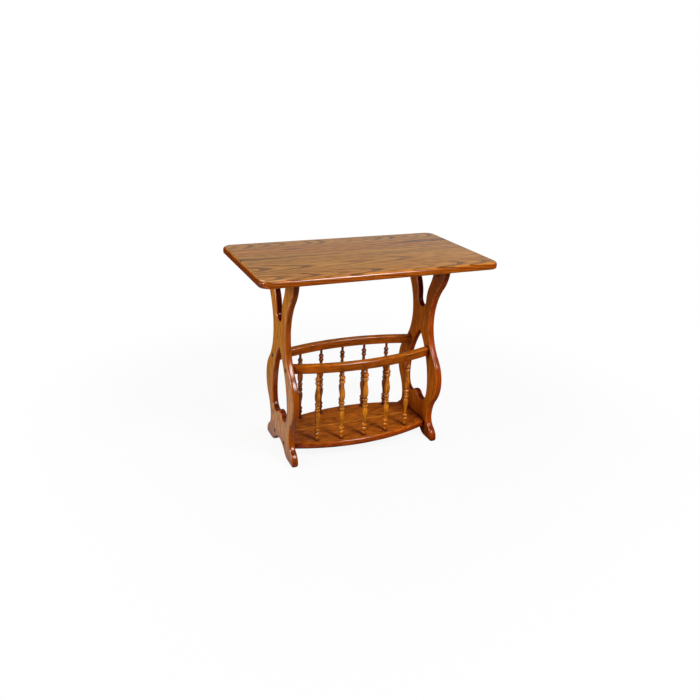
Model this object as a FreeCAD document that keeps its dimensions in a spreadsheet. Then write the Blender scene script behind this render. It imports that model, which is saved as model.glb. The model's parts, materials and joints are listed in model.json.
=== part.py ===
import FreeCAD
import Part
import Sketcher
import math
import operator
import os
from types import SimpleNamespace

from FreeCAD import Placement, Rotation, Vector

# Magazine table: an oak top on two fretted end panels, with a rack between
# them made of a bowed shelf, two bowed rails and turned spindles.
# X runs along the top, the front faces -Y and Z is up. Lengths are in mm.
# The origin is on the floor, under the middle of the top.

SIZES = {
    # Top board
    "table_height": 559,
    "top_length": 660,
    "top_depth": 381,
    "top_thick": 19,
    "top_corner_radius": 28,
    "top_upper_round": 8,
    "top_lower_round": 5,
    # End panels: widths run right across a panel, heights are from the floor
    "panel_span": 452,
    "panel_thick": 19,
    "panel_edge_round": 6,
    "head_width": 235,
    "waist_width": 102.6,
    "waist_height": 357,
    "hip_width": 242,
    "hip_height": 186,
    "ankle_width": 165,
    "ankle_height": 69,
    "toe_width": 233,
    "toe_radius": 8,
    "foot_gap_width": 144,
    "arch_height": 33,
    # Slot at the top of a panel
    "slot_head_width": 110,
    "slot_foot_radius": 21,
    "slot_foot_height": 391,
    # Heart cut-out under the waist
    "heart_width": 127,
    "heart_wide_height": 152,
    "heart_side_radius": 245,
    "heart_apex_radius": 8,
    "lobe_spread": 70,
    "lobe_height": 108.5,
    "bump_height": 124,
    # Bowed rails: offsets are from the middle of the table to a rail's centre line
    "rail_height": 25,
    "rail_thick": 20,
    "rail_centre_height": 269,
    "rail_mid_offset": 86,
    "rail_end_offset": 52,
    "rail_edge_round": 5,
    # Bowed shelf
    "shelf_thick": 19,
    "shelf_centre_height": 40.5,
    "shelf_mid_depth": 212,
    "shelf_end_depth": 135,
    "shelf_edge_round": 5,
    # Spindles
    "spindle_pitch": 69,
    "spindle_diameter": 16,
    "tenon_diameter": 6,
    "tenon_length": 9,
    "socket_clearance": 0.1,
    # Screws and the plugs that hide them
    "screw_diameter": 4,
    "screw_head_diameter": 8,
    "screw_head_height": 2.5,
    "screw_tip_length": 6,
    "screw_clearance": 0.1,
    "drive_recess_width": 2.6,
    "drive_recess_depth": 1.6,
    "joint_screw_length": 44,
    "top_screw_length": 32,
    "plug_diameter": 12.7,
    "plug_clearance": 0.05,
    "plug_bore_depth": 8,
    "rail_screw_offset": 57,
    "shelf_screw_offset": 40,
    # Pocket holes for the screws that hold the top
    "pocket_diameter": 9.5,
    "pocket_offset": 81,
    "pocket_shoulder": 20,
    "cut_overrun": 4,
}

# Where the two arcs of each ogee meet, as a share of the way between its ends
SHARES = {
    "arch_share": 0.62,
    "toe_share": 0.5,
    "ankle_share": 0.5,
    "hip_share": 0.4,
    "waist_share": 0.58,
    "slot_share": 0.6,
    "bump_share": 0.58,
    "turning_share": 0.5,
    # Radius of a heart lobe, of the way from its lowest point to its side
    "lobe_share": 0.9,
}

ANGLES = {
    # Lean of the pocket holes from upright, in degrees
    "pocket_lean": 15,
}

# A spindle from the shelf up to the rail: height as a share of its length,
# thickness as a share of its diameter, and whether the turning is round
# there or cut to a sharp quirk
SPINDLE_SHARES = (
    (0.000, 0.56, "quirk"),
    (0.035, 0.66, "round"),
    (0.070, 0.50, "quirk"),
    (0.100, 0.88, "round"),
    (0.128, 0.54, "quirk"),
    (0.157, 0.90, "round"),
    (0.185, 0.50, "quirk"),
    (0.208, 0.54, "round"),
    (0.372, 0.96, "round"),
    (0.424, 0.54, "quirk"),
    (0.450, 0.92, "round"),
    (0.475, 0.58, "quirk"),
    (0.492, 0.80, "round"),
    (0.509, 0.58, "quirk"),
    (0.534, 0.93, "round"),
    (0.560, 0.56, "quirk"),
    (0.645, 1.00, "round"),
    (0.806, 0.54, "round"),
    (0.818, 0.50, "quirk"),
    (0.845, 0.88, "round"),
    (0.873, 0.52, "quirk"),
    (0.902, 0.90, "round"),
    (0.932, 0.46, "quirk"),
    (1.000, 0.46, "quirk"),
)

# Two planes nearer than this share of a board are one plane
TOUCH_SHARE = 0.001

SPINDLES_PER_SIDE = 5
SIDES = (-1, 1)
# How a sketch numbers the points of an edge
START, END, CENTRE = 1, 2, 3
UPRIGHT = Vector(0, 0, 1)
ALONG = Vector(1, 0, 0)
ACROSS = Vector(0, 1, 0)


class Size:
    """A number together with the sheet formula that gives it."""

    def __init__(self, number, formula):
        self.number = number
        self.formula = formula

    def __add__(self, other):
        return joined(self, other, operator.add, "+")

    def __sub__(self, other):
        return joined(self, other, operator.sub, "-")

    def __mul__(self, other):
        return joined(self, other, operator.mul, "*")

    def __truediv__(self, other):
        return joined(self, other, operator.truediv, "/")

    def __neg__(self):
        return self * -1


def as_size(value):
    """Lets a plain count or share take part in a formula."""
    return value if isinstance(value, Size) else Size(value, f"({value})")


def joined(left, right, act, sign):
    """Joins two sizes into one, number and formula alike."""
    left = as_size(left)
    right = as_size(right)
    return Size(act(left.number, right.number), f"({left.formula} {sign} {right.formula})")


def root(amount):
    return Size(math.sqrt(amount.number), f"sqrt({amount.formula})")


def sine(angle):
    return Size(math.sin(math.radians(angle.number)), f"sin({angle.formula} * 1 deg)")


def cosine(angle):
    return Size(math.cos(math.radians(angle.number)), f"cos({angle.formula} * 1 deg)")


doc = FreeCAD.newDocument("MagazineTable")


def write_sheet():
    """Puts every driving value in the sheet and hands them out by name."""
    sheet = doc.addObject("Spreadsheet::Sheet", "Sizes")
    named = {}
    for row, (alias, number) in enumerate({**SIZES, **SHARES, **ANGLES}.items(), start=1):
        sheet.set(f"A{row}", alias)
        sheet.set(f"B{row}", str(number))
        sheet.setAlias(f"B{row}", alias)
        named[alias] = Size(float(number), f"{sheet.Name}.{alias}")
    doc.recompute()
    return SimpleNamespace(**named)


size = write_sheet()
ZERO = Size(0, "0")

# Places that several pieces share
panel_inner = size.panel_span / 2 - size.panel_thick
panel_top = size.table_height - size.top_thick
rail_bottom = size.rail_centre_height - size.rail_height / 2
shelf_bottom = size.shelf_centre_height - size.shelf_thick / 2
shelf_top = shelf_bottom + size.shelf_thick
spindle_length = rail_bottom - shelf_top
rail_bow = size.rail_mid_offset - size.rail_end_offset
rail_radius = (panel_inner * panel_inner + rail_bow * rail_bow) / (rail_bow * 2)
socket_diameter = size.tenon_diameter + size.socket_clearance * 2
socket_depth = size.tenon_length + size.socket_clearance
screw_hole_diameter = size.screw_diameter + size.screw_clearance * 2
screw_seat = size.panel_span / 2 - size.plug_bore_depth
plug_length = size.plug_bore_depth - size.screw_head_height
pocket_middle = size.panel_span / 2 - size.panel_thick / 2
lean_sine = sine(size.pocket_lean)
lean_cosine = cosine(size.pocket_lean)
touch = TOUCH_SHARE * size.panel_thick.number


def bow_offset(radius, across):
    """How far a rail's arc of this radius stands from the middle of the table."""
    return size.rail_mid_offset - rail_radius + root(radius * radius - across * across)


def spindle_places():
    """Places of one row of spindles along a rail's centre line."""
    first = (SPINDLES_PER_SIDE - 1) / 2
    for index in range(SPINDLES_PER_SIDE):
        across = size.spindle_pitch * (index - first)
        yield across, bow_offset(rail_radius, across)


def facing(side):
    """Leaves a piece as it is on the + side, and turns it half round on the - side."""
    return Rotation(UPRIGHT, 0 if side > 0 else 180)


def lean(side):
    """Turn of a pocket hole, whose upper end leans away from the middle of the table."""
    return Rotation(ACROSS, size.pocket_lean.number * side)


# Sketching


class Outline:
    """A closed chain of lines and arcs whose corners are tied to the sheet."""

    def __init__(self, *start):
        self.corners = [start]
        self.bends = []

    def line_to(self, across, up):
        self.corners.append((across, up))
        self.bends.append(None)

    def arc_to(self, across, up, lies, at):
        """Adds an arc whose centre lies Horizontal or Vertical from its start or end."""
        self.corners.append((across, up))
        self.bends.append((lies, at))

    def ogee_to(self, across, up, share, lies):
        """Adds two arcs that run into each other a share of the way along."""
        start_across, start_up = self.corners[-1]
        middle_across = start_across + (across - start_across) * share
        middle_up = start_up + (up - start_up) * share
        self.arc_to(middle_across, middle_up, lies, "start")
        self.arc_to(across, up, lies, "end")

    def close(self):
        self.bends.append(None)

    def draw(self, sketch):
        points = [Vector(across.number, up.number, 0) for across, up in self.corners]
        following = points[1:] + points[:1]
        edges = [edge_between(*ends) for ends in zip(points, following, self.bends)]
        sketch.addGeometry([edge for edge, first, last in edges])
        ends = [(index, first, last) for index, (edge, first, last) in enumerate(edges)]
        tie_joints(sketch, ends, self.bends)
        for (index, first, last), corner in zip(ends, self.corners):
            tie_point(sketch, index, first, corner)


def edge_between(start, end, bend):
    """A line or arc from start to end, with the sketch's numbers for those two ends."""
    if bend is None:
        return Part.LineSegment(start, end), START, END
    lies, at = bend
    anchor, other = (start, end) if at == "start" else (end, start)
    reach = other - anchor
    if lies == "Horizontal":
        centre = anchor + Vector(reach.Length ** 2 / (2 * reach.x), 0, 0)
    else:
        centre = anchor + Vector(0, reach.Length ** 2 / (2 * reach.y), 0)
    circle = Part.Circle(centre, UPRIGHT, (start - centre).Length)
    start_angle = circle.parameter(start)
    end_angle = circle.parameter(end)
    if (start - centre).cross(end - centre).z > 0:
        return Part.ArcOfCircle(circle, start_angle, end_angle), START, END
    return Part.ArcOfCircle(circle, end_angle, start_angle), END, START


def tie_joints(sketch, ends, bends):
    """Joins each edge to the next and holds each arc's centre in line with its anchor."""
    ties = []
    for (index, first, last), (after, after_first, _) in zip(ends, ends[1:] + ends[:1]):
        ties.append(Sketcher.Constraint("Coincident", index, last, after, after_first))
    for (index, first, last), bend in zip(ends, bends):
        if bend:
            lies, at = bend
            anchor = first if at == "start" else last
            ties.append(Sketcher.Constraint(lies, index, CENTRE, index, anchor))
    sketch.addConstraint(ties)


def tie_point(sketch, geometry, position, corner):
    """Ties a point of a sketch to its place on the sheet, measured from the sketch's origin."""
    origin = (-1, 1)
    for kind, axis, amount in zip(("DistanceX", "DistanceY"), (-2, -1), corner):
        if amount is ZERO:
            sketch.addConstraint(Sketcher.Constraint("PointOnObject", geometry, position, axis))
        else:
            tie = Sketcher.Constraint(kind, *origin, geometry, position, amount.number)
            bind(sketch, {f"Constraints[{sketch.addConstraint(tie)}]": amount})


def draw_circles(sketch, places, diameter):
    """Draws equal circles at the given places."""
    for across, up in places:
        middle = Vector(across.number, up.number, 0)
        circle = sketch.addGeometry(Part.Circle(middle, UPRIGHT, diameter.number / 2))
        tie_point(sketch, circle, CENTRE, (across, up))
        tie = sketch.addConstraint(Sketcher.Constraint("Diameter", circle, diameter.number))
        bind(sketch, {f"Constraints[{tie}]": diameter})


# Features


def bind(item, amounts):
    """Ties properties of an object to the sheet."""
    for name, amount in amounts.items():
        item.setExpression(name, amount.formula)


def place(item, x=ZERO, y=ZERO, z=ZERO, turn=Rotation(), frame="Placement"):
    """Turns an object and ties its position to the sheet."""
    setattr(item, frame, Placement(Vector(x.number, y.number, z.number), turn))
    bind(item, {f"{frame}.Base.{axis}": amount for axis, amount in zip("xyz", (x, y, z))})


def new_body(label):
    return doc.addObject("PartDesign::Body", label)


def origin_plane(body, role):
    return next(item for item in body.Origin.OriginFeatures if item.Role == role)


def attach(item, body, role):
    item.AttachmentSupport = [(origin_plane(body, role), "")]
    item.MapMode = "FlatFace"


def new_sketch(body, name, role, offset=ZERO):
    """Starts a sketch on one of the body's own planes, or at an offset from it."""
    sketch = body.newObject("Sketcher::SketchObject", name)
    attach(sketch, body, role)
    bind(sketch, {"AttachmentOffset.Base.z": offset})
    return sketch


def pad(body, sketch, length):
    feature = body.newObject("PartDesign::Pad", "Board")
    feature.Profile = sketch
    bind(feature, {"Length": length})
    doc.recompute()
    return feature


def revolve(body, sketch):
    feature = body.newObject("PartDesign::Revolution", "Turning")
    feature.Profile = sketch
    feature.ReferenceAxis = (sketch, ["V_Axis"])
    doc.recompute()
    return feature


def pocket(body, sketch, name, depth, against_normal=True):
    """Cuts a sketch into the body and makes sure that wood was taken away."""
    before = body.Shape.Volume
    feature = body.newObject("PartDesign::Pocket", name)
    feature.Profile = sketch
    feature.Reversed = not against_normal
    bind(feature, {"Length": depth})
    doc.recompute()
    if body.Shape.Volume >= before:
        raise RuntimeError(f"{body.Label}: {name} cuts nothing")
    return feature


def mirror(body, originals, role):
    feature = body.newObject("PartDesign::Mirrored", "Mirrored")
    feature.Originals = originals
    feature.MirrorPlane = (origin_plane(body, role), [""])
    body.Tip = feature
    doc.recompute()
    return feature


def round_edges(body, name, radius, chosen):
    """Rounds the edges of the body that the test picks out."""
    base = body.Tip
    edges = [f"Edge{number}" for number, edge in enumerate(base.Shape.Edges, start=1) if chosen(edge)]
    feature = body.newObject("PartDesign::Fillet", name)
    feature.Base = (base, edges)
    bind(feature, {"Radius": radius})
    doc.recompute()
    return feature


def drill_leaning(body, name, diameter, length, x, y, z, turn):
    """Drills a hole along its own leaning axis."""
    before = body.Shape.Volume
    feature = body.newObject("PartDesign::SubtractiveCylinder", name)
    attach(feature, body, "XY_Plane")
    bind(feature, {"Radius": diameter / 2, "Height": length})
    place(feature, x, y, z, turn, "AttachmentOffset")
    doc.recompute()
    if body.Shape.Volume >= before:
        raise RuntimeError(f"{body.Label}: {name} cuts nothing")
    return feature


def lies_at(edge, axis, level):
    """Tells whether an edge lies wholly in the plane at this level of an axis."""
    box = edge.BoundBox
    low = getattr(box, f"{axis}Min")
    high = getattr(box, f"{axis}Max")
    return abs(low - level.number) < touch and abs(high - level.number) < touch


def group(label, members):
    """Keeps identical pieces together as separate solids of one node."""
    compound = doc.addObject("Part::Compound", label)
    compound.Links = members
    return compound


# Top board


def top_outline():
    """A rectangle with round corners, walked round from the front right corner."""
    half_length = size.top_length / 2
    half_depth = size.top_depth / 2
    flat_length = half_length - size.top_corner_radius
    flat_depth = half_depth - size.top_corner_radius
    path = Outline(flat_length, -half_depth)
    path.arc_to(half_length, -flat_depth, "Vertical", "start")
    path.line_to(half_length, flat_depth)
    path.arc_to(flat_length, half_depth, "Horizontal", "start")
    path.line_to(-flat_length, half_depth)
    path.arc_to(-half_length, flat_depth, "Vertical", "start")
    path.line_to(-half_length, -flat_depth)
    path.arc_to(-flat_length, -half_depth, "Horizontal", "start")
    path.close()
    return path


def make_top():
    body = new_body("table_top")
    place(body, z=panel_top)
    sketch = new_sketch(body, "TopOutline", "XY_Plane")
    top_outline().draw(sketch)
    pad(body, sketch, size.top_thick)
    round_edges(body, "UpperRound", size.top_upper_round, lambda edge: lies_at(edge, "Z", size.top_thick))
    round_edges(body, "LowerRound", size.top_lower_round, lambda edge: lies_at(edge, "Z", ZERO))
    bite = size.top_screw_length - size.pocket_shoulder
    for side in SIDES:
        for row in SIDES:
            drill_leaning(
                body, "TopPilot", screw_hole_diameter, bite + size.cut_overrun + size.screw_clearance,
                pocket_middle * side - lean_sine * size.cut_overrun * side,
                size.pocket_offset * row,
                -lean_cosine * size.cut_overrun,
                lean(side),
            )
    return body


# End panels


def outer_edge(path):
    """Runs up one side of a panel, from the arch between its feet to its head."""
    toe = size.toe_width / 2
    path.ogee_to(size.foot_gap_width / 2, ZERO, size.arch_share, "Vertical")
    path.line_to(toe - size.toe_radius, ZERO)
    path.arc_to(toe, size.toe_radius, "Horizontal", "end")
    path.ogee_to(size.ankle_width / 2, size.ankle_height, size.toe_share, "Horizontal")
    path.ogee_to(size.hip_width / 2, size.hip_height, size.ankle_share, "Horizontal")
    path.ogee_to(size.waist_width / 2, size.waist_height, size.hip_share, "Horizontal")
    path.ogee_to(size.head_width / 2, panel_top, size.waist_share, "Horizontal")


def slot_edge(path):
    """Runs down the side of the open slot to its round foot."""
    slot_centre = size.slot_foot_height + size.slot_foot_radius
    path.line_to(size.slot_head_width / 2, panel_top)
    path.ogee_to(size.slot_foot_radius, slot_centre, size.slot_share, "Horizontal")
    path.arc_to(ZERO, size.slot_foot_height, "Horizontal", "start")


def heart_edge(path):
    """Runs round one half of the heart, from its apex to the bump between its lobes."""
    half_width = size.heart_width / 2
    side = size.heart_side_radius
    tip = size.heart_apex_radius
    # The small arc at the apex runs into the long arc of the side
    side_centre = half_width - side
    rise = root((side - tip) * (side - tip) - side_centre * side_centre)
    tip_height = size.heart_wide_height + rise
    meeting = tip / (side - tip)
    path.line_to(ZERO, tip_height + tip)
    path.arc_to(-side_centre * meeting, tip_height + rise * meeting, "Vertical", "start")
    path.arc_to(half_width, size.heart_wide_height, "Horizontal", "end")
    # A wide shoulder arc runs into the tighter arc of the lobe
    lobe = size.lobe_spread / 2
    reach = half_width - lobe
    drop = size.heart_wide_height - size.lobe_height
    lobe_radius = reach * size.lobe_share
    shoulder = (reach * reach + drop * drop - drop * lobe_radius * 2) / ((reach - lobe_radius) * 2)
    along = shoulder / (shoulder - lobe_radius)
    shoulder_centre = half_width - shoulder
    path.arc_to(
        shoulder_centre + (lobe - shoulder_centre) * along,
        size.heart_wide_height - (drop - lobe_radius) * along,
        "Horizontal", "start",
    )
    path.arc_to(lobe, size.lobe_height, "Vertical", "end")
    path.ogee_to(ZERO, size.bump_height, size.bump_share, "Vertical")


def half_panel():
    path = Outline(ZERO, size.arch_height)
    outer_edge(path)
    slot_edge(path)
    heart_edge(path)
    path.close()
    return path


def drill_screw_holes(body):
    """Bores the plugged screw holes for the rail and shelf in one half of a panel."""
    sketch = new_sketch(body, "ScrewPlaces", "YZ_Plane", size.panel_thick)
    places = [
        (size.rail_screw_offset, size.rail_centre_height),
        (size.shelf_screw_offset, size.shelf_centre_height),
    ]
    draw_circles(sketch, places, screw_hole_diameter)
    before = body.Shape.Volume
    hole = body.newObject("PartDesign::Hole", "PluggedHoles")
    hole.Profile = sketch
    doc.recompute()
    hole.ThreadType = "None"
    hole.DepthType = "ThroughAll"
    hole.HoleCutType = "Counterbore"
    hole.HoleCutCustomValues = True
    bind(hole, {
        "Diameter": screw_hole_diameter,
        "HoleCutDiameter": size.plug_diameter,
        "HoleCutDepth": size.plug_bore_depth,
    })
    doc.recompute()
    if body.Shape.Volume >= before:
        raise RuntimeError(f"{body.Label}: the screw holes cut nothing")
    return hole


def drill_pockets(body):
    """Bores the leaning pocket holes from the inner face up through the panel's head."""
    middle = size.panel_thick / 2
    shoulder_x = middle - lean_sine * size.pocket_shoulder
    shoulder_z = panel_top - lean_cosine * size.pocket_shoulder
    run = (shoulder_x + lean_cosine * size.pocket_diameter / 2) / lean_sine + size.cut_overrun
    for row in SIDES:
        offset = size.pocket_offset * row
        drill_leaning(
            body, "Pocket", size.pocket_diameter, run,
            shoulder_x - lean_sine * run, offset, shoulder_z - lean_cosine * run, lean(1),
        )
        drill_leaning(
            body, "TopScrewHole", screw_hole_diameter, size.pocket_shoulder + size.cut_overrun,
            shoulder_x, offset, shoulder_z, lean(1),
        )


def make_panel(label, side):
    """Builds a panel with its inner face on its own YZ plane and its outer face towards +X."""
    body = new_body(label)
    place(body, x=panel_inner * side, turn=facing(side))
    sketch = new_sketch(body, "HalfOutline", "YZ_Plane")
    half_panel().draw(sketch)
    half = pad(body, sketch, size.panel_thick)
    holes = drill_screw_holes(body)
    mirror(body, [half, holes], "XZ_Plane")

    def is_outline(edge):
        """Picks the edges of both faces, apart from the screw holes and the head under the top."""
        on_face = lies_at(edge, "X", ZERO) or lies_at(edge, "X", size.panel_thick)
        is_hole = edge.isClosed()
        return on_face and not is_hole and not lies_at(edge, "Z", panel_top)

    round_edges(body, "EdgeRound", size.panel_edge_round, is_outline)
    drill_pockets(body)
    return body


# Rails


def rail_outline():
    """Plan of a rail: two arcs about one centre, cut square where they meet the panels."""
    half_thick = size.rail_thick / 2
    inner_end = bow_offset(rail_radius - half_thick, panel_inner)
    outer_end = bow_offset(rail_radius + half_thick, panel_inner)
    path = Outline(-panel_inner, inner_end)
    path.arc_to(ZERO, size.rail_mid_offset - half_thick, "Vertical", "end")
    path.arc_to(panel_inner, inner_end, "Vertical", "start")
    path.line_to(panel_inner, outer_end)
    path.arc_to(ZERO, size.rail_mid_offset + half_thick, "Vertical", "end")
    path.arc_to(-panel_inner, outer_end, "Vertical", "start")
    path.close()
    return path


def is_long_edge(edge):
    """Picks the bowed edges of a rail or shelf, which are far longer than a board is thick."""
    level = edge.BoundBox.ZLength < touch
    return level and not edge.isClosed() and edge.BoundBox.XLength > size.panel_thick.number


def drill_ends(body, offsets, height):
    """Bores the screws' pilot holes in both ends of a rail or shelf."""
    depth = size.joint_screw_length - (size.panel_thick - size.plug_bore_depth) + size.screw_clearance
    sketch = new_sketch(body, "PilotPlaces", "YZ_Plane", panel_inner)
    draw_circles(sketch, [(offset, height) for offset in offsets], screw_hole_diameter)
    pilots = pocket(body, sketch, "Pilots", depth)
    mirror(body, [pilots], "YZ_Plane")


def make_rail(label, side):
    """Builds the rail of the back, and turns it round for the front."""
    body = new_body(label)
    place(body, z=rail_bottom, turn=facing(side))
    sketch = new_sketch(body, "RailOutline", "XY_Plane")
    rail_outline().draw(sketch)
    pad(body, sketch, size.rail_height)
    round_edges(body, "RailRound", size.rail_edge_round, is_long_edge)
    sockets = new_sketch(body, "SocketPlaces", "XY_Plane")
    draw_circles(sockets, spindle_places(), socket_diameter)
    pocket(body, sockets, "Sockets", socket_depth, against_normal=False)
    drill_ends(body, [size.rail_screw_offset], size.rail_height / 2)
    return body


# Shelf


def shelf_outline():
    """Plan of the shelf: bowed at the front and back, square where it meets the panels."""
    half_mid = size.shelf_mid_depth / 2
    half_end = size.shelf_end_depth / 2
    path = Outline(-panel_inner, -half_end)
    path.arc_to(ZERO, -half_mid, "Vertical", "end")
    path.arc_to(panel_inner, -half_end, "Vertical", "start")
    path.line_to(panel_inner, half_end)
    path.arc_to(ZERO, half_mid, "Vertical", "end")
    path.arc_to(-panel_inner, half_end, "Vertical", "start")
    path.close()
    return path


def make_shelf():
    body = new_body("magazine_shelf")
    place(body, z=shelf_bottom)
    sketch = new_sketch(body, "ShelfOutline", "XY_Plane")
    shelf_outline().draw(sketch)
    pad(body, sketch, size.shelf_thick)
    round_edges(body, "ShelfRound", size.shelf_edge_round, is_long_edge)
    sockets = new_sketch(body, "SocketPlaces", "XY_Plane", size.shelf_thick)
    places = [(across, offset * row) for row in SIDES for across, offset in spindle_places()]
    draw_circles(sockets, places, socket_diameter)
    pocket(body, sockets, "Sockets", socket_depth)
    drill_ends(body, [size.shelf_screw_offset, -size.shelf_screw_offset], size.shelf_thick / 2)
    return body


# Spindles


def spindle_outline():
    """Half section of a spindle with a round tenon at each end."""
    tenon = size.tenon_diameter / 2
    stations = [
        (size.spindle_diameter * thick_share / 2, spindle_length * height_share, form)
        for height_share, thick_share, form in SPINDLE_SHARES
    ]
    path = Outline(ZERO, -size.tenon_length)
    path.line_to(tenon, -size.tenon_length)
    path.line_to(tenon, ZERO)
    path.line_to(stations[0][0], ZERO)
    for (_, _, form), (radius, height, next_form) in zip(stations, stations[1:]):
        if form == next_form == "round":
            path.ogee_to(radius, height, size.turning_share, "Horizontal")
        elif form == next_form:
            path.line_to(radius, height)
        else:
            path.arc_to(radius, height, "Horizontal", "start" if form == "round" else "end")
    path.line_to(tenon, spindle_length)
    path.line_to(tenon, spindle_length + size.tenon_length)
    path.line_to(ZERO, spindle_length + size.tenon_length)
    path.close()
    return path


def make_spindle(label, x, y):
    body = new_body(label)
    place(body, x, y, shelf_top)
    sketch = new_sketch(body, "Profile", "XZ_Plane")
    spindle_outline().draw(sketch)
    revolve(body, sketch)
    return body


def make_spindles(row_name, side):
    return [
        make_spindle(f"{row_name}_spindle_{number}", across, offset * side)
        for number, (across, offset) in enumerate(spindle_places(), start=1)
    ]


# Screws and plugs


def screw_outline(length):
    """Half section of a screw whose head seats at zero and whose tip points up."""
    head = size.screw_head_diameter / 2
    shank = size.screw_diameter / 2
    path = Outline(ZERO, -size.screw_head_height)
    path.line_to(head, -size.screw_head_height)
    path.line_to(head, ZERO)
    path.line_to(shank, ZERO)
    path.line_to(shank, length - size.screw_tip_length)
    path.line_to(ZERO, length)
    path.close()
    return path


def drive_outline():
    half = size.drive_recess_width / 2
    path = Outline(-half, -half)
    path.line_to(half, -half)
    path.line_to(half, half)
    path.line_to(-half, half)
    path.close()
    return path


def make_screw(label, length):
    """A square-drive wood screw, the pattern for its copies."""
    body = new_body(label)
    sketch = new_sketch(body, "Profile", "XZ_Plane")
    screw_outline(length).draw(sketch)
    revolve(body, sketch)
    drive = new_sketch(body, "Drive", "XY_Plane", -size.screw_head_height)
    drive_outline().draw(drive)
    pocket(body, drive, "DriveRecess", size.drive_recess_depth, against_normal=False)
    return body


def copy_of(pattern, x, y, z, turn):
    copy = doc.addObject("App::Link", f"{pattern.Name}_copy")
    copy.LinkedObject = pattern
    place(copy, x, y, z, turn)
    return copy


def make_joint_screws(label, pattern, offset, height):
    """Screws that run along the table, through both panels, into a rail or shelf end."""
    return group(label, [
        copy_of(pattern, screw_seat * side, offset * row, height, Rotation(UPRIGHT, ALONG * -side))
        for side in SIDES for row in SIDES
    ])


def make_top_screws(label, pattern):
    """Screws that lean up through the pocket holes into the top."""
    seat_x = pocket_middle - lean_sine * size.pocket_shoulder
    seat_z = panel_top - lean_cosine * size.pocket_shoulder
    return group(label, [
        copy_of(pattern, seat_x * side, size.pocket_offset * row, seat_z, lean(side))
        for side in SIDES for row in SIDES
    ])


def make_plug(x, y, z, side):
    plug = doc.addObject("Part::Cylinder", "Plug")
    bind(plug, {"Radius": size.plug_diameter / 2 - size.plug_clearance, "Height": plug_length})
    place(plug, x, y, z, Rotation(UPRIGHT, ALONG * side))
    return plug


def make_plugs(label, offset, height):
    """Plugs that fill the bores over a set of screws, flush with the panels."""
    inner_end = size.panel_span / 2 - plug_length
    return group(label, [
        make_plug(inner_end * side, offset * row, height, side) for side in SIDES for row in SIDES
    ])


# The whole table


def make_table():
    joint_screw = make_screw("joint_screw", size.joint_screw_length)
    top_screw = make_screw("top_screw", size.top_screw_length)
    rail_joint = (size.rail_screw_offset, size.rail_centre_height)
    shelf_joint = (size.shelf_screw_offset, size.shelf_centre_height)
    return [
        make_top(),
        make_panel("left_end_panel", -1),
        make_panel("right_end_panel", 1),
        make_rail("front_rail", -1),
        make_rail("back_rail", 1),
        make_shelf(),
        *make_spindles("front", -1),
        *make_spindles("back", 1),
        make_joint_screws("rail_screws", joint_screw, *rail_joint),
        make_joint_screws("shelf_screws", joint_screw, *shelf_joint),
        make_top_screws("top_screws", top_screw),
        make_plugs("rail_plugs", *rail_joint),
        make_plugs("shelf_plugs", *shelf_joint),
    ]


def check(nodes):
    """Stops before anything is written if an object failed or a shape is unsound."""
    faults = [item.Label for item in doc.Objects if {"Invalid", "Error"} & set(item.State)]
    faults += [node.Label for node in nodes if node.Shape.isNull() or not node.Shape.isValid()]
    if faults:
        raise RuntimeError(f"failed: {', '.join(faults)}")


nodes = make_table()
doc.recompute()
check(nodes)
os.makedirs("parts", exist_ok=True)
for node in nodes:
    node.Shape.exportStep(f"parts/{node.Label}.step")
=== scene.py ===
import json
import math
from dataclasses import dataclass

import bpy
from mathutils import Matrix, Vector


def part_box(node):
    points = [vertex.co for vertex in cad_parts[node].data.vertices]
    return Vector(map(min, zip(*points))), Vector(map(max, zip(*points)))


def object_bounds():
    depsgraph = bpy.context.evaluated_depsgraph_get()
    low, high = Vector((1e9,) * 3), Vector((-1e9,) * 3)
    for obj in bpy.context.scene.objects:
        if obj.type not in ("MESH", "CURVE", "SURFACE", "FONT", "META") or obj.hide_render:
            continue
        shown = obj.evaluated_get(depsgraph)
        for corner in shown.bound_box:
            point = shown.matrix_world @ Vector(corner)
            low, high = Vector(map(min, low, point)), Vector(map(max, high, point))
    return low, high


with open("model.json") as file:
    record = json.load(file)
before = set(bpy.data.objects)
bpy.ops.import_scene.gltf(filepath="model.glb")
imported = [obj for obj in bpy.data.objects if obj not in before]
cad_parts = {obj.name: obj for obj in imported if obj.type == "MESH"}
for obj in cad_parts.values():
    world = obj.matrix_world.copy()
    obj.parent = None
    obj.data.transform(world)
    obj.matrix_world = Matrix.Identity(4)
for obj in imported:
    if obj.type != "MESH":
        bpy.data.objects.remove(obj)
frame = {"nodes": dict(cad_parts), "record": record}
cad_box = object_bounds()

# Magazine table of stained and lacquered oak. Metres, X along the top, front towards -Y, Z up.
nodes = frame["nodes"]
middle = (cad_box[0] + cad_box[1]) / 2

# Camera of the photograph: where it stands, where it looks and how it is tilted
CAMERA_PLACE = Vector((-0.7710, -1.6825, 1.0236))
CAMERA_AZIMUTH = -24.22
CAMERA_ELEVATION = 21.97
CAMERA_ROLL = 2.20
SENSOR = 36.0
LENS = 36.0


@dataclass
class SoftBox:
    """A lamp that looks at the middle of the table."""
    azimuth: float      # degrees from the front
    elevation: float    # degrees
    distance: float
    width: float
    height: float
    power: float


SOFT_BOXES = {
    "key_light": SoftBox(azimuth=23, elevation=40, distance=2.2, width=0.6, height=0.8, power=35.0),
    "fill_light": SoftBox(azimuth=-74, elevation=24, distance=2.2, width=0.4, height=0.5, power=14.0),
    "side_wall": SoftBox(azimuth=-98, elevation=14, distance=2.2, width=1.4, height=1.0, power=16.0),
    "back_light": SoftBox(azimuth=185, elevation=45, distance=2.6, width=1.6, height=1.2, power=13.0),
}
STUDIO_FILL = 0.05
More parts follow.
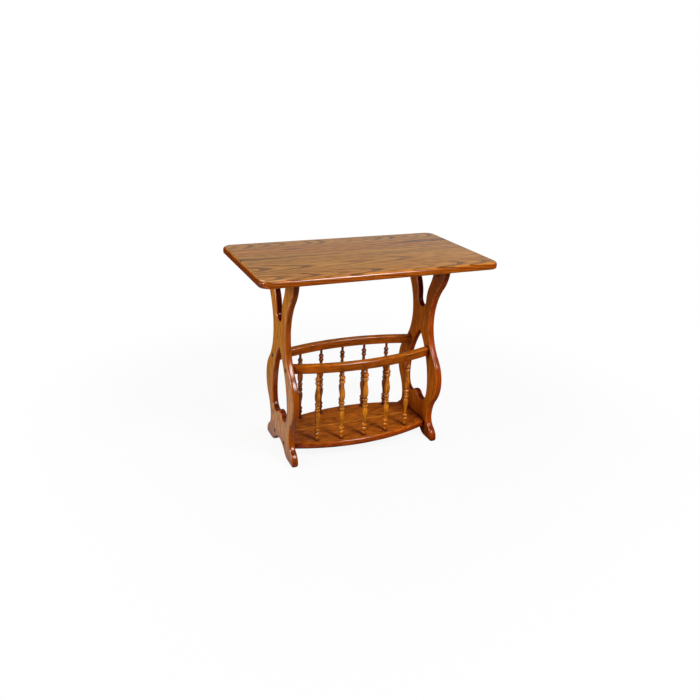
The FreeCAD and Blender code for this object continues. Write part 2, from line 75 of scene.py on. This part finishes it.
# Reflections: a white backdrop at the back right of a dim studio. It fades out upwards and fades in to the
# right and to the back, between these parts of a direction.
BACKDROP_ABOVE = (0.10, 0.34)
BACKDROP_ASIDE = (-0.30, 0.20)
BACKDROP_BEHIND = (0.0, 0.6)
BACKDROP_BRIGHT = 0.70
STUDIO_DIM = 0.02

WHITE = (1, 1, 1, 1)
BLACK = (0, 0, 0, 1)
# Floor: its size, its colour to the eye and for the light that it throws back
FLOOR_SIDE = 14.0
FLOOR_PALE = (0.90, 0.90, 0.90, 1)
FLOOR_BOUNCE = (0.42, 0.42, 0.42, 1)
# How white it is near the table, and the distances between which it goes over to plain white
FLOOR_WHITE_NEAR = 0.91
FLOOR_FADE = (0.45, 1.3)
# Its brightness in reflections, to the left of lines that run from the table back and forth
FLOOR_LINE = 0.60
FLOOR_ASIDE = (-0.18, -0.02)
FLOOR_MIRRORED = (0.40, 0.02)


# Node graphs that read as formulas


class Signal:
    """A node's output that can be added, multiplied and so on."""

    def __init__(self, graph, socket):
        self.graph = graph
        self.socket = socket

    def __add__(self, other):
        return self.graph.math("ADD", self, other)

    def __sub__(self, other):
        return self.graph.math("SUBTRACT", self, other)

    def __rsub__(self, other):
        return self.graph.math("SUBTRACT", other, self)

    def __mul__(self, other):
        return self.graph.math("MULTIPLY", self, other)

    def __truediv__(self, other):
        return self.graph.math("DIVIDE", self, other)

    def __abs__(self):
        return self.graph.math("ABSOLUTE", self)


class Graph:
    """Builds a node tree from short calls."""

    def __init__(self, tree):
        self.tree = tree
        tree.nodes.clear()

    def node(self, kind, inputs=None, **settings):
        made = self.tree.nodes.new(kind)
        for name, value in settings.items():
            setattr(made, name, value)
        for name, value in (inputs or {}).items():
            self.feed(made.inputs[name], value)
        return made

    def feed(self, socket, value):
        if isinstance(value, Signal):
            self.tree.links.new(value.socket, socket)
        else:
            socket.default_value = value

    def out(self, made, name):
        return Signal(self, made.outputs[name])

    def math(self, operation, *terms):
        made = self.node("ShaderNodeMath", operation=operation)
        for socket, term in zip(made.inputs, terms):
            self.feed(socket, term)
        return self.out(made, "Value")

    def smooth(self, value, start, end, low=0.0, high=1.0):
        """Goes smoothly from low to high as the value goes from start to end."""
        made = self.node("ShaderNodeMapRange", interpolation_type="SMOOTHSTEP")
        for name, amount in (("Value", value), ("From Min", start), ("From Max", end),
                             ("To Min", low), ("To Max", high)):
            self.feed(made.inputs[name], amount)
        return self.out(made, "Result")

    def vector(self, x, y, z):
        return self.out(self.node("ShaderNodeCombineXYZ", {"X": x, "Y": y, "Z": z}), "Vector")

    def parts(self, vector):
        made = self.node("ShaderNodeSeparateXYZ", {"Vector": vector})
        return [self.out(made, axis) for axis in "XYZ"]

    def object_place(self):
        """X, Y and Z in the shared frame, because every CAD node sits at the origin."""
        return self.parts(self.out(self.node("ShaderNodeTexCoord"), "Object"))

    def noise(self, place, shift, detail=2.0):
        """Noise about 0, up to half either way, in a place already scaled to the noise's own size."""
        inputs = {"Vector": place, "W": shift, "Scale": 1.0, "Detail": detail}
        return self.out(self.node("ShaderNodeTexNoise", inputs, noise_dimensions="4D"), "Fac") - 0.5

    def random(self, cell):
        """Three numbers from -0.5 to 0.5 that belong to a cell."""
        made = self.node("ShaderNodeTexWhiteNoise", {"W": cell}, noise_dimensions="1D")
        return [number - 0.5 for number in self.parts(self.out(made, "Color"))]

    def blend(self, amount, first, second, how="MIX"):
        made = self.node("ShaderNodeMix", data_type="RGBA", blend_type=how, clamp_factor=True)
        sockets = {socket.identifier: socket for socket in made.inputs}
        self.feed(sockets["Factor_Float"], amount)
        self.feed(sockets["A_Color"], first)
        self.feed(sockets["B_Color"], second)
        return Signal(self, next(s for s in made.outputs if s.identifier == "Result_Color"))

    def tint(self, amount, base, factor):
        """Multiplies a colour by a factor where the amount is 1."""
        return self.blend(amount, base, factor, "MULTIPLY")

    def closed_in(self, reach):
        """One where little of the view out of a point is free over this distance."""
        made = self.node("ShaderNodeAmbientOcclusion", {"Distance": reach}, samples=6)
        return self.smooth(self.out(made, "AO"), *CLOSED_IN)


# Oak


@dataclass
class Oak:
    """How the oak of one slot was sawn, stained and lacquered, and the painted shade and sheen in its colour.
    """
    board: str      # a node of the slot, whose middle is the middle of its board
    axes: str       # axes along, across and through the board
    stave: float    # width of the staves that the board is glued up from
    ring: float     # width of a growth ring
    pith: float     # mean distance from the board to the middle of the tree
    taper: float    # how far the rings climb out of the board along its length
    seed: float
    late: tuple     # colours of the dense wood, the porous wood and the open pores
    early: tuple
    pore: tuple
    figure: float   # strength of the growth rings
    streaks: float  # strength of the streaks and flecks
    gloss: float    # roughness of the lacquer
    edge: tuple = (1.0, 1.0, 1.0)   # painted shade and sheen on the sawn edges: below one it darkens them as shade, above one it paints a pale sheen
    far_side_shade: tuple = (1.0, 1.0, 1.0)   # painted shade: what the pieces on the right or at the back keep of these colours, as less light reaches them
    joint: float = 0.0              # share of a stave that the joints are shifted by
    lacquer: float = 1.5            # refractive index of the lacquer


OAK = {
    "oak_top": Oak(
        board="table_top", axes="XYZ", stave=0.086, ring=0.0056, pith=0.060, taper=0.13, seed=3.0,
        late=(0.640, 0.268, 0.053), early=(0.280, 0.106, 0.016), pore=(0.120, 0.043, 0.006),
        figure=1.25, streaks=1.2, gloss=0.14, edge=(0.66, 0.35, 0.09)),
    "oak_panel": Oak(
        board="right_end_panel", axes="ZYX", stave=0.081, ring=0.0044, pith=0.055, taper=0.11, seed=11.0,
        late=(0.565, 0.200, 0.013), early=(0.350, 0.100, 0.006), pore=(0.150, 0.042, 0.004),
        figure=0.9, streaks=1.1, gloss=0.19, edge=(0.70, 0.40, 0.20), far_side_shade=(1.08, 0.76, 0.40)),
    "oak_rail": Oak(
        board="back_rail", axes="XZY", stave=0.6, ring=0.0040, pith=0.040, taper=0.09, seed=23.0,
        late=(0.440, 0.098, 0.004), early=(0.260, 0.050, 0.003), pore=(0.120, 0.025, 0.002),
        figure=1.0, streaks=1.8, gloss=0.13, edge=(1.20, 1.50, 2.0)),
    "oak_shelf": Oak(
        board="magazine_shelf", axes="XYZ", stave=0.110, ring=0.0044, pith=0.055, taper=0.11, seed=37.0,
        late=(0.500, 0.132, 0.007), early=(0.280, 0.062, 0.004), pore=(0.120, 0.024, 0.002),
        figure=0.8, streaks=1.9, gloss=0.18, edge=(0.98, 0.70, 0.52), joint=0.5),
    "oak_spindle": Oak(
        board="back_spindle_3", axes="ZXY", stave=0.069, ring=0.0036, pith=0.030, taper=0.09, seed=51.0,
        late=(0.680, 0.215, 0.010), early=(0.370, 0.090, 0.004), pore=(0.140, 0.030, 0.003),
        figure=1.0, streaks=1.9, gloss=0.07, far_side_shade=(0.44, 0.30, 0.26), lacquer=1.7),
    "oak_plug": Oak(
        board="rail_plugs", axes="XYZ", stave=0.031, ring=0.0026, pith=0.012, taper=0.05, seed=71.0,
        late=(0.080, 0.020, 0.003), early=(0.045, 0.010, 0.002), pore=(0.030, 0.007, 0.001),
        figure=0.8, streaks=0.6, gloss=0.30),
}

# Features of the wood, as how many come to a metre along and across the grain
WANDER = (3.0, 8.0)
WOBBLE = (14.0, 45.0)
VESSELS = (70.0, 1300.0)
STREAKS = (5.0, 80.0)
FLECKS = (30.0, 100.0)
FIBRES = (26.0, 620.0)
CLOUDS = (4.0, 9.0)

# Growth rings: how far off a stave's middle the pith may lie, as a share of the stave's width
PITH_SWAY = 0.7
# How far wander and wobble push the rings, in metres
WANDER_ASIDE = 0.016
WANDER_OUT = 0.010
WOBBLE_OUT = 0.0045
# Shares of a year in which the porous wood begins, and in which it ends
YEAR_BEGINS = (0.0, 0.08)
YEAR_ENDS = (0.62, 0.16)
# How porous a year is, how much years differ, and a number that keeps the years of the staves apart
YEAR_MEAN = 0.6
YEAR_SPREAD = 0.9
YEARS_APART = 31.0

# Pores: the noise from which a vessel is open, how far it shows in porous and in dense wood, and its strength
VESSEL_OPEN = (0.04, 0.16)
PORES_EARLY = 0.85
PORES_LATE = 0.15
PORE_STRENGTH = 0.85
# How far streaks, fibres, clouds and the tone of a stave lighten the wood, and clouds and staves warm it
STREAK_LIGHT = 0.6
FIBRE_LIGHT = 0.30
CLOUD_LIGHT = 0.30
STAVE_LIGHT = 0.14
CLOUD_WARM = 0.16
STAVE_WARM = 0.10
# Relief of the wood and of the lacquer film over it
FIBRE_RELIEF = 0.35
EARLY_RELIEF = 0.12
RELIEF_DEPTH = 0.00025
WOOD_RELIEF = 0.35
FILM_RELIEF = 0.10
# Roughness under the lacquer, of the wood and what open pores add
WOOD_ROUGH = 0.5
PORE_ROUGH = 0.2

# How far a face looks through the board where the painted shade and sheen of the sawn edges, the rubbed
# arrises and the painted shade of the walls of cut-outs begin and end, and how far along it where end grain
# does
EDGE_SHADING_RANGE = (0.97, 0.55)
ARRIS_INNER = (0.30, 0.60)
ARRIS_OUTER = (0.97, 0.80)
WALL = (0.6, 0.2)
END_GRAIN = (0.45, 0.95)
# What end grain, which drinks more stain, keeps of the colour, and how much lacquer it drinks
END_TINT = (0.52, 0.40, 0.35, 1)
END_DRINKS = 0.55
# Rounded arrises are rubbed a little lighter
RUBBED_TINT = (1.16, 1.12, 1.05, 1)
# Faces that look down are stained but not lacquered
BARE_UNDERSIDE = (-0.9, -0.5)

# Dirt and stain that gather in corners, with painted shade there too: how far a corner reaches, and what the
# colour keeps there
CORNER_REACH = 0.008
CORNER_STAIN_AND_SHADE = (0.20, 0.09, 0.05, 1)
# Painted shade in the nooks between the pieces, where little light gets in: how far a nook reaches, and what
# the colour keeps there
NOOK_SHADE_REACH = 0.09
NOOK_PAINTED_SHADE = (0.50, 0.26, 0.20, 1)
# Free shares of the view between which a point goes from open to closed in
CLOSED_IN = (0.95, 0.50)
# Painted shade on the walls of the slot and, less so, of the heart in a panel, which lie in shade
CUT_OUT_PAINTED_SHADE = (0.48, 0.22, 0.15, 1)
HEART_SHARE = 0.55
# The heart lies between these heights and within this half width
HEART_LOW = 0.080
HEART_HIGH = 0.285
HEART_HALF = 0.070
# The slot lies above this height, within a half width that grows upwards
SLOT_LOW = 0.385
SLOT_HALF = 0.036
SLOT_GROWS = 0.33
# A painted highlight along the joint between the two boards of the shelf, drawn as a pale line: half its
# width, and its factor on the colour
JOINT_LINE = 0.0020
JOINT_PAINTED_HIGHLIGHT = (1.7, 2.3, 3.5, 1)
# How far apart the stave numbers of pieces on the two sides of the table lie, and the random cell of a stave's
# tone from that of its rings
SIDE_STEP = 20.0
TONE_CELL = 0.5
# Turns a random number from -0.5 to 0.5 into one from -1 to 1
BOTH_WAYS = 2.0


def colour(rgb):
    return (*rgb, 1.0)


def board_place(graph, oak):
    """Place along, across and through a stave, measured from its middle, and the number of the stave."""
    axes = dict(zip("XYZ", graph.object_place()))
    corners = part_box(oak.board)
    centre = {axis: (corners[0][index] + corners[1][index]) / 2 for index, axis in enumerate("XYZ")}
    along, across, through = oak.axes
    sideways = axes[across] - centre[across]
    stave = graph.math("ROUND", sideways / oak.stave + oak.joint)
    off_middle = sideways - (stave - oak.joint) * oak.stave
    depth = abs(axes[through]) - abs(centre[through])
    side = graph.math("SIGN", axes[through])
    return axes[along], off_middle, depth, stave + side * SIDE_STEP + oak.seed


def grain_noise(graph, place, to_the_metre, shift, detail=2.0):
    """Noise stretched along the grain."""
    along, across, through, _ = place
    lengthways, crossways = to_the_metre
    stretched = graph.vector(along * lengthways, across * crossways, through * crossways)
    return graph.noise(stretched, shift, detail)


def porous_wood(graph, oak, place):
    """How porous the wood is: growth rings that start porous and end dense, some years more than others."""
    along, across, through, stave = place
    sway, depth, climb = graph.random(stave)
    wander = grain_noise(graph, place, WANDER, stave)
    wobble = grain_noise(graph, place, WOBBLE, stave, detail=3.0)
    aside = across + sway * oak.stave * PITH_SWAY + wander * WANDER_ASIDE
    below = through + (depth + 1.0) * oak.pith
    radius = graph.math("SQRT", aside * aside + below * below)
    radius = radius + along * climb * oak.taper * BOTH_WAYS + wander * WANDER_OUT + wobble * WOBBLE_OUT
    years = radius / oak.ring
    phase = graph.math("FRACT", years)
    year, _, _ = graph.random(graph.math("FLOOR", years) + stave * YEARS_APART)
    ring = graph.smooth(phase, *YEAR_BEGINS) * graph.smooth(phase, *YEAR_ENDS)
    return ring * (year * YEAR_SPREAD + YEAR_MEAN)


def cut_out_walls(graph, facing):
    """One on the walls of a panel's slot and heart, which lie nearer its middle line than its outer edges."""
    _, y, z = graph.object_place()
    heart = graph.math("GREATER_THAN", z, HEART_LOW) * graph.math("LESS_THAN", z, HEART_HIGH) * HEART_HALF
    slot = graph.math("GREATER_THAN", z, SLOT_LOW) * ((z - SLOT_LOW) * SLOT_GROWS + SLOT_HALF)
    walls = graph.math("LESS_THAN", abs(y), heart) * HEART_SHARE + graph.math("LESS_THAN", abs(y), slot)
    return graph.smooth(facing, *WALL) * walls


def oak_material(slot, oak):
    """Stained open-pored oak under a glossy lacquer."""
    material = bpy.data.materials.new(slot)
    material.use_nodes = True
    graph = Graph(material.node_tree)
    place = board_place(graph, oak)
    _, off_middle, _, stave = place

    early = porous_wood(graph, oak, place)
    vessels = graph.smooth(grain_noise(graph, place, VESSELS, oak.seed, detail=1.0), *VESSEL_OPEN)
    pores = vessels * (early * PORES_EARLY + PORES_LATE)
    streak = grain_noise(graph, place, STREAKS, oak.seed, detail=3.0)
    fleck = grain_noise(graph, place, FLECKS, oak.seed, detail=3.0)
    fibre = grain_noise(graph, place, FIBRES, oak.seed)
    cloud = grain_noise(graph, place, CLOUDS, stave)
    tone, warmth, _ = graph.random(stave + TONE_CELL)

    wood = graph.blend(early * oak.figure, colour(oak.late), colour(oak.early))
    wood = graph.blend(pores * PORE_STRENGTH, wood, colour(oak.pore))
    light = (streak * STREAK_LIGHT + fleck) * oak.streaks
    light = light + fibre * FIBRE_LIGHT + cloud * CLOUD_LIGHT + tone * STAVE_LIGHT + 1.0
    warm = light * (cloud * CLOUD_WARM + warmth * STAVE_WARM + 1.0)
    wood = graph.tint(1.0, wood, graph.vector(light, warm, warm))

    normal = dict(zip("XYZ", graph.parts(graph.out(graph.node("ShaderNodeNewGeometry"), "Normal"))))
    facing = abs(normal[oak.axes[2]])
    end_grain = graph.smooth(abs(normal[oak.axes[0]]), *END_GRAIN)
    arris = graph.smooth(facing, *ARRIS_INNER) * graph.smooth(facing, *ARRIS_OUTER)
    # Painted shade on the sawn edges, which come out darker and redder than the faces; on the rails a painted
    # sheen on the top and bottom faces
    wood = graph.tint(graph.smooth(facing, *EDGE_SHADING_RANGE), wood, colour(oak.edge))
    wood = graph.tint(arris, wood, RUBBED_TINT)
    wood = graph.tint(end_grain, wood, END_TINT)
    if slot == "oak_shelf":
        # Painted highlight along the joint of the shelf's two boards
        line = graph.math("GREATER_THAN", abs(off_middle), oak.stave / 2 - JOINT_LINE)
        wood = graph.tint(line, wood, JOINT_PAINTED_HIGHLIGHT)
    if slot == "oak_panel":
        # Painted shade on the walls of the slot and the heart
        wood = graph.tint(cut_out_walls(graph, facing), wood, CUT_OUT_PAINTED_SHADE)
    # Painted shade on the right panel and the back spindles, which get less light
    in_far_shade = graph.math("GREATER_THAN", stave, oak.seed + SIDE_STEP / 2)
    wood = graph.tint(in_far_shade, wood, colour(oak.far_side_shade))
    # Stain in the corners and creases, deepened by painted shade
    wood = graph.tint(graph.closed_in(CORNER_REACH), wood, CORNER_STAIN_AND_SHADE)
    # Painted shade in the nooks between the pieces
    wood = graph.tint(graph.closed_in(NOOK_SHADE_REACH), wood, NOOK_PAINTED_SHADE)

    height = fibre * FIBRE_RELIEF - pores - early * EARLY_RELIEF
    bare, film = (
        graph.node("ShaderNodeBump", {"Strength": relief, "Distance": RELIEF_DEPTH, "Height": height})
        for relief in (WOOD_RELIEF, FILM_RELIEF))
    shader = graph.node("ShaderNodeBsdfPrincipled", {
        "Base Color": wood,
        "Roughness": pores * PORE_ROUGH + WOOD_ROUGH,
        "Specular IOR Level": 0.0,
        "Normal": graph.out(bare, "Normal"),
        "Coat Weight": (1.0 - end_grain * END_DRINKS) * graph.smooth(normal["Z"], *BARE_UNDERSIDE),
        "Coat Roughness": oak.gloss,
        "Coat IOR": oak.lacquer,
        "Coat Normal": graph.out(film, "Normal"),
    })
    graph.node("ShaderNodeOutputMaterial", {"Surface": graph.out(shader, "BSDF")})
    return material


# Steel of the screws: how many clouds and scratches come to a metre, its two shades, and its roughness
STEEL_CLOUDS = 260.0
SCRATCHES_ALONG = 400.0
SCRATCHES_ACROSS = 3000.0
STEEL_DULL = (0.50, 0.48, 0.42, 1)
STEEL_BRIGHT = (0.66, 0.65, 0.62, 1)
STEEL_ROUGH = 0.38
SCRATCH_ROUGH = 0.25
SCRATCH_RELIEF = 0.2
SCRATCH_DEPTH = 0.0001


def steel_material(slot):
    """Zinc-plated steel with a cloudy, faintly scratched plating."""
    material = bpy.data.materials.new(slot)
    material.use_nodes = True
    graph = Graph(material.node_tree)
    x, y, z = graph.object_place()
    cloud_place = graph.vector(x * STEEL_CLOUDS, y * STEEL_CLOUDS, z * STEEL_CLOUDS)
    scratch_place = graph.vector(x * SCRATCHES_ALONG, y * SCRATCHES_ACROSS, z * SCRATCHES_ACROSS)
    cloud = graph.noise(cloud_place, shift=5.0, detail=3.0)
    scratch = graph.noise(scratch_place, shift=9.0)
    relief = {"Strength": SCRATCH_RELIEF, "Distance": SCRATCH_DEPTH, "Height": scratch}
    bump = graph.node("ShaderNodeBump", relief)
    shader = graph.node("ShaderNodeBsdfPrincipled", {
        "Base Color": graph.blend(cloud + 0.5, STEEL_DULL, STEEL_BRIGHT),
        "Metallic": 1.0,
        "Roughness": scratch * SCRATCH_ROUGH + STEEL_ROUGH,
        "Normal": graph.out(bump, "Normal"),
    })
    graph.node("ShaderNodeOutputMaterial", {"Surface": graph.out(shader, "BSDF")})
    return material


def dress_nodes():
    """Gives every CAD node the finish of its slot."""
    finishes = {slot: oak_material(slot, oak) for slot, oak in OAK.items()}
    finishes["screw_steel"] = steel_material("screw_steel")
    for part in frame["record"]["subparts"]:
        for held in nodes[part["node"]].material_slots:
            held.material = finishes[part["material_slot"]]


# Floor, light and camera


def ray_kinds(graph):
    """One for rays that show the background plainly, and one for rays that mirror it."""
    path = graph.node("ShaderNodeLightPath")
    seen = graph.math("MAXIMUM", graph.out(path, "Is Camera Ray"), graph.out(path, "Is Transmission Ray"))
    return seen, graph.out(path, "Is Glossy Ray")


def make_floor():
    """A pale floor that goes over to white away from the table and keeps its shadow near it."""
    bpy.ops.mesh.primitive_plane_add(size=FLOOR_SIDE)
    floor = bpy.context.object
    floor.name = "floor"
    material = bpy.data.materials.new("floor_paper")
    material.use_nodes = True
    graph = Graph(material.node_tree)
    x, y, _ = graph.object_place()
    away = graph.math("SQRT", x * x + y * y)
    seen, mirrored = ray_kinds(graph)
    to_the_eye = graph.smooth(away, *FLOOR_FADE, FLOOR_WHITE_NEAR, 1.0) * seen
    in_lacquer = graph.smooth(x + abs(y) * FLOOR_LINE, *FLOOR_ASIDE, *FLOOR_MIRRORED) * mirrored
    tone = graph.blend(mirrored, graph.blend(seen, FLOOR_BOUNCE, FLOOR_PALE), BLACK)
    paper = graph.node("ShaderNodeBsdfDiffuse", {"Color": tone})
    white = graph.node("ShaderNodeEmission", {"Color": WHITE, "Strength": 1.0})
    surface = graph.node("ShaderNodeMixShader", {
        0: to_the_eye + in_lacquer,
        1: graph.out(paper, "BSDF"),
        2: graph.out(white, "Emission"),
    })
    graph.node("ShaderNodeOutputMaterial", {"Surface": graph.out(surface, "Shader")})
    floor.data.materials.append(material)


def make_world():
    """White to the eye, a backdrop in a dim studio in reflections, and a soft fill for everything else."""
    world = bpy.data.worlds.new("studio")
    world.use_nodes = True
    bpy.context.scene.world = world
    graph = Graph(world.node_tree)
    aside, behind, above = graph.parts(graph.out(graph.node("ShaderNodeTexCoord"), "Generated"))
    seen, mirrored = ray_kinds(graph)
    backdrop = graph.smooth(aside, *BACKDROP_ASIDE) * graph.smooth(behind, *BACKDROP_BEHIND)
    backdrop = backdrop * (1.0 - graph.smooth(above, *BACKDROP_ABOVE))
    mirror = graph.math("MAXIMUM", backdrop * BACKDROP_BRIGHT, STUDIO_DIM) * mirrored
    fill = (1.0 - mirrored) * STUDIO_FILL
    strength = graph.math("MAXIMUM", seen, mirror + fill)
    sky = graph.node("ShaderNodeBackground", {"Color": WHITE, "Strength": strength})
    graph.node("ShaderNodeOutputWorld", {"Surface": graph.out(sky, "Background")})


def towards(azimuth, elevation):
    """Unit vector from the table to a place at this azimuth from the front, and elevation."""
    turn = math.radians(azimuth)
    rise = math.radians(elevation)
    return Vector((math.sin(turn) * math.cos(rise), -math.cos(turn) * math.cos(rise), math.sin(rise)))


def make_lights():
    for name, box in SOFT_BOXES.items():
        lamp = bpy.data.lights.new(name, "AREA")
        lamp.shape = "RECTANGLE"
        lamp.size = box.width
        lamp.size_y = box.height
        lamp.energy = box.power
        holder = bpy.data.objects.new(name, lamp)
        direction = towards(box.azimuth, box.elevation)
        holder.location = middle + direction * box.distance
        holder.rotation_euler = direction.to_track_quat("Z", "Y").to_euler()
        bpy.context.scene.collection.objects.link(holder)


def make_camera():
    lens = bpy.data.cameras.new("camera")
    lens.sensor_width = SENSOR
    lens.lens = LENS
    camera = bpy.data.objects.new("camera", lens)
    back = towards(CAMERA_AZIMUTH, CAMERA_ELEVATION)
    level = Vector((0, 0, 1)).cross(back).normalized()
    upright = back.cross(level)
    turn = math.radians(CAMERA_ROLL)
    right = level * math.cos(turn) + upright * math.sin(turn)
    up = upright * math.cos(turn) - level * math.sin(turn)
    camera.matrix_world = Matrix.Translation(CAMERA_PLACE) @ Matrix((right, up, back)).transposed().to_4x4()
    bpy.context.scene.collection.objects.link(camera)
    bpy.context.scene.camera = camera


dress_nodes()
make_floor()
make_world()
make_lights()
make_camera()
bpy.context.scene.view_settings.view_transform = "Standard"
